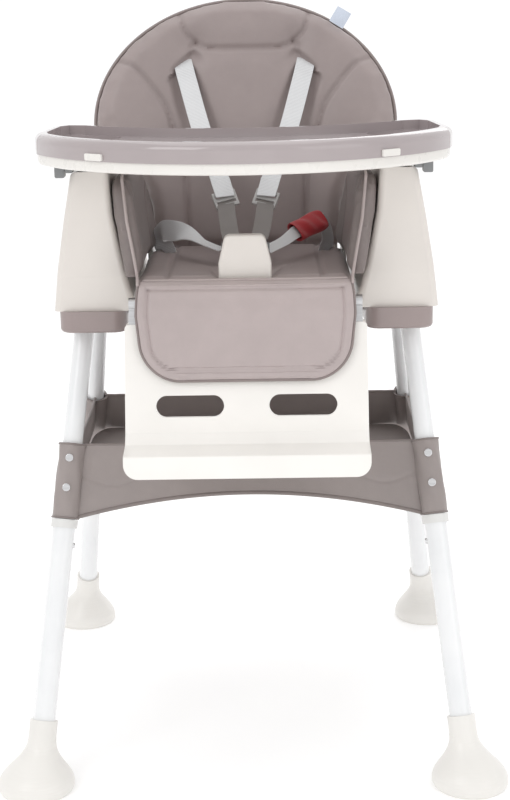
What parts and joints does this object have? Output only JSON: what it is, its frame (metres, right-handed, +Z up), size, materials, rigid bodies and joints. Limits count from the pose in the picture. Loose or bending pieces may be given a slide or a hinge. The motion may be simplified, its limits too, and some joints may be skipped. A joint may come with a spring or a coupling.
{
  "type": "baby high chair",
  "caption": "Baby high chair with splayed tube legs, padded reclining seat, sliding tray, harness, height-adjustable footrest and storage basket.",
  "frame": {"origin": "on the floor under the middle of the four feet", "axes": "+Z up, -Y towards the front of the chair where the child's feet point, +X to the right of a viewer who faces the chair"},
  "size_m": [0.632, 0.65, 0.95],
  "materials": {
    "white_plastic": "satin gloss",
    "foot_plastic": "satin",
    "taupe_plastic": "gloss",
    "hub_plastic": "satin",
    "leg_paint": "gloss white paint",
    "ring_plastic": "satin",
    "leatherette": "soft grained leatherette",
    "basket_cloth": "thin grained leatherette",
    "webbing": "woven polyester",
    "grey_plastic": "satin",
    "handle_plastic": "satin",
    "button_red": "gloss",
    "red_sleeve": "woven",
    "tag_cloth": "woven satin",
    "steel": "zinc plated",
    "snap_metal": "polished"
  },
  "bodies": {
    "chair_base": {"basket_floor": "basket_cloth", "basket_front_panel": "basket_cloth", "basket_rear_panel": "basket_cloth", "basket_side_panels": "basket_cloth", "basket_sleeves": "basket_cloth", "basket_snaps": "snap_metal", "buckle_body": "grey_plastic", "buckle_spring": "steel", "buckle_tongues": "grey_plastic", "crotch_post": "white_plastic", "crotch_strap": "webbing", "foot_front_left": "foot_plastic", "foot_front_right": "foot_plastic", "foot_rear_left": "foot_plastic", "foot_rear_right": "foot_plastic", "footrest_hinge_pins": "steel", "hub_screws": "steel", "lap_straps": "webbing", "leg_hub_left": "hub_plastic", "leg_hub_right": "hub_plastic", "leg_rings": "ring_plastic", "lower_legs": "leg_paint", "recline_hinge_pins": "steel", "recline_quadrants": "grey_plastic", "seat_crossbars": "steel", "seat_cushion": "leatherette", "seat_shell": "white_plastic", "side_panel_left": "white_plastic", "side_panel_right": "white_plastic", "side_wings": "leatherette", "strap_sleeve": "red_sleeve", "tray_rails": "grey_plastic", "upper_legs": "leg_paint", "waist_straps": "webbing"},
    "backrest": {"back_shell": "white_plastic", "latch_bezel": "grey_plastic", "latch_springs": "steel", "back_cushion": "leatherette", "strap_anchor_bars": "steel", "shoulder_straps": "webbing", "strap_adjusters": "grey_plastic", "fabric_tag": "tag_cloth"},
    "recline_latch": {"recline_handle": "handle_plastic", "latch_rods": "steel"},
    "footrest_carrier": {"footrest_rails": "steel", "footrest_crossbar": "steel", "calf_flap": "leatherette", "flap_straps": "webbing"},
    "footrest_step": {"footrest": "white_plastic"},
    "tray_carriage": {"tray_base": "white_plastic", "lever_keepers": "grey_plastic"},
    "tray_lid": {"tray_top": "taupe_plastic", "tray_clips": "white_plastic"},
    "tray_release_left": {"tray_lever_left": "grey_plastic"},
    "tray_release_right": {"tray_lever_right": "grey_plastic"},
    "buckle_release": {"buckle_button": "button_red"},
    "leg_snap_front_left": {"snap_button_front_left": "snap_metal"},
    "leg_snap_front_right": {"snap_button_front_right": "snap_metal"},
    "leg_snap_rear_left": {"snap_button_rear_left": "snap_metal"},
    "leg_snap_rear_right": {"snap_button_rear_right": "snap_metal"}
  },
  "joints": [
    {"name": "backrest_recline", "type": "hinge", "parent": "chair_base", "child": "backrest", "pos_m": [0, 0.095, 0.61], "axis": [-1, 0, 0], "range_deg": [0, 35]},
    {"name": "recline_handle_lift", "type": "slide", "parent": "backrest", "child": "recline_latch", "axis": [0, 0.2079, 0.9781], "range_m": [0, 0.008], "stiffness_N_per_m": 500, "springref_m": -0.004},
    {"name": "footrest_swing", "type": "hinge", "parent": "chair_base", "child": "footrest_carrier", "pos_m": [0, -0.20034, 0.59467], "axis": [-1, 0, 0], "range_deg": [0, 70]},
    {"name": "footrest_height", "type": "slide", "parent": "footrest_carrier", "child": "footrest_step", "axis": [0, -0.2907, -0.9568], "range_m": [0, 0.048]},
    {"name": "tray_slide", "type": "slide", "parent": "chair_base", "child": "tray_carriage", "axis": [0, -1, 0], "range_m": [0, 0.06]},
    {"name": "tray_top_lift", "type": "slide", "parent": "tray_carriage", "child": "tray_lid", "axis": [0, 0, 1], "range_m": [0, 0.06]},
    {"name": "tray_lever_left_pull", "type": "slide", "parent": "tray_carriage", "child": "tray_release_left", "axis": [-1, 0, 0], "range_m": [0, 0.004], "stiffness_N_per_m": 300, "springref_m": -0.003},
    {"name": "tray_lever_right_pull", "type": "slide", "parent": "tray_carriage", "child": "tray_release_right", "axis": [1, 0, 0], "range_m": [0, 0.004], "stiffness_N_per_m": 300, "springref_m": -0.003},
    {"name": "buckle_press", "type": "slide", "parent": "chair_base", "child": "buckle_release", "axis": [0, 1, 0], "range_m": [0, 0.0028], "stiffness_N_per_m": 300, "springref_m": -0.002},
    {"name": "leg_snap_front_left_press", "type": "slide", "parent": "chair_base", "child": "leg_snap_front_left", "axis": [-0.9945, 0.0355, 0.0986], "range_m": [0, 0.0026], "stiffness_N_per_m": 400, "springref_m": -0.002},
    {"name": "leg_snap_front_right_press", "type": "slide", "parent": "chair_base", "child": "leg_snap_front_right", "axis": [0.9945, 0.0355, 0.0986], "range_m": [0, 0.0026], "stiffness_N_per_m": 400, "springref_m": -0.002},
    {"name": "leg_snap_rear_left_press", "type": "slide", "parent": "chair_base", "child": "leg_snap_rear_left", "axis": [-0.9945, -0.0355, 0.0986], "range_m": [0, 0.0026], "stiffness_N_per_m": 400, "springref_m": -0.002},
    {"name": "leg_snap_rear_right_press", "type": "slide", "parent": "chair_base", "child": "leg_snap_rear_right", "axis": [0.9945, -0.0355, 0.0986], "range_m": [0, 0.0026], "stiffness_N_per_m": 400, "springref_m": -0.002}
  ]
}
